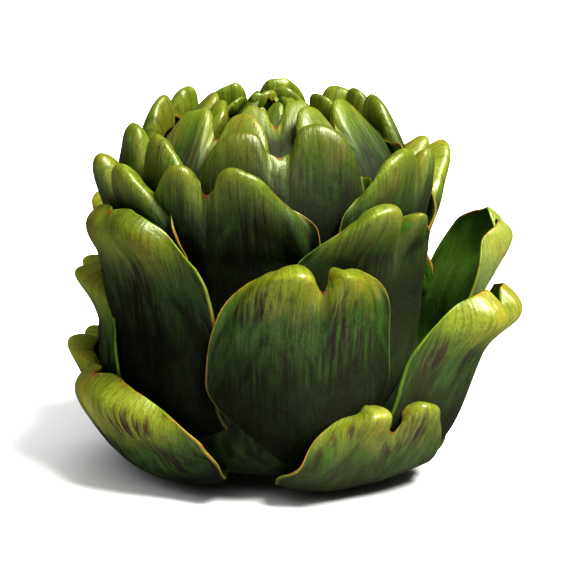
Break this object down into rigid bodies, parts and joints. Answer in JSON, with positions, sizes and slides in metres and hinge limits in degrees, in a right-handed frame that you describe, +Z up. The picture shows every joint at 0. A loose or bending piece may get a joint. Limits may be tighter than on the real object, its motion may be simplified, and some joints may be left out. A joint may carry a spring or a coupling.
{
  "type": "artichoke",
  "caption": "Whole globe artichoke head of overlapping notched bracts, cut short at a ribbed stem stub that it stands on.",
  "frame": {"origin": "centre of the stem's flat cut face, which the artichoke stands on", "axes": "+Z up the stem to the crown, -Y to the front, +X to the viewer's right"},
  "size_m": [0.1248, 0.1216, 0.102],
  "materials": {
    "bracts": "waxy green bract skin with olive lobes and purple brown streaks, half matte",
    "stem": "fibrous pale green stem, cut across to a cream coloured face, matte"
  },
  "bodies": {
    "root": {"head": "bracts", "stem": "stem"}
  },
  "joints": []
}
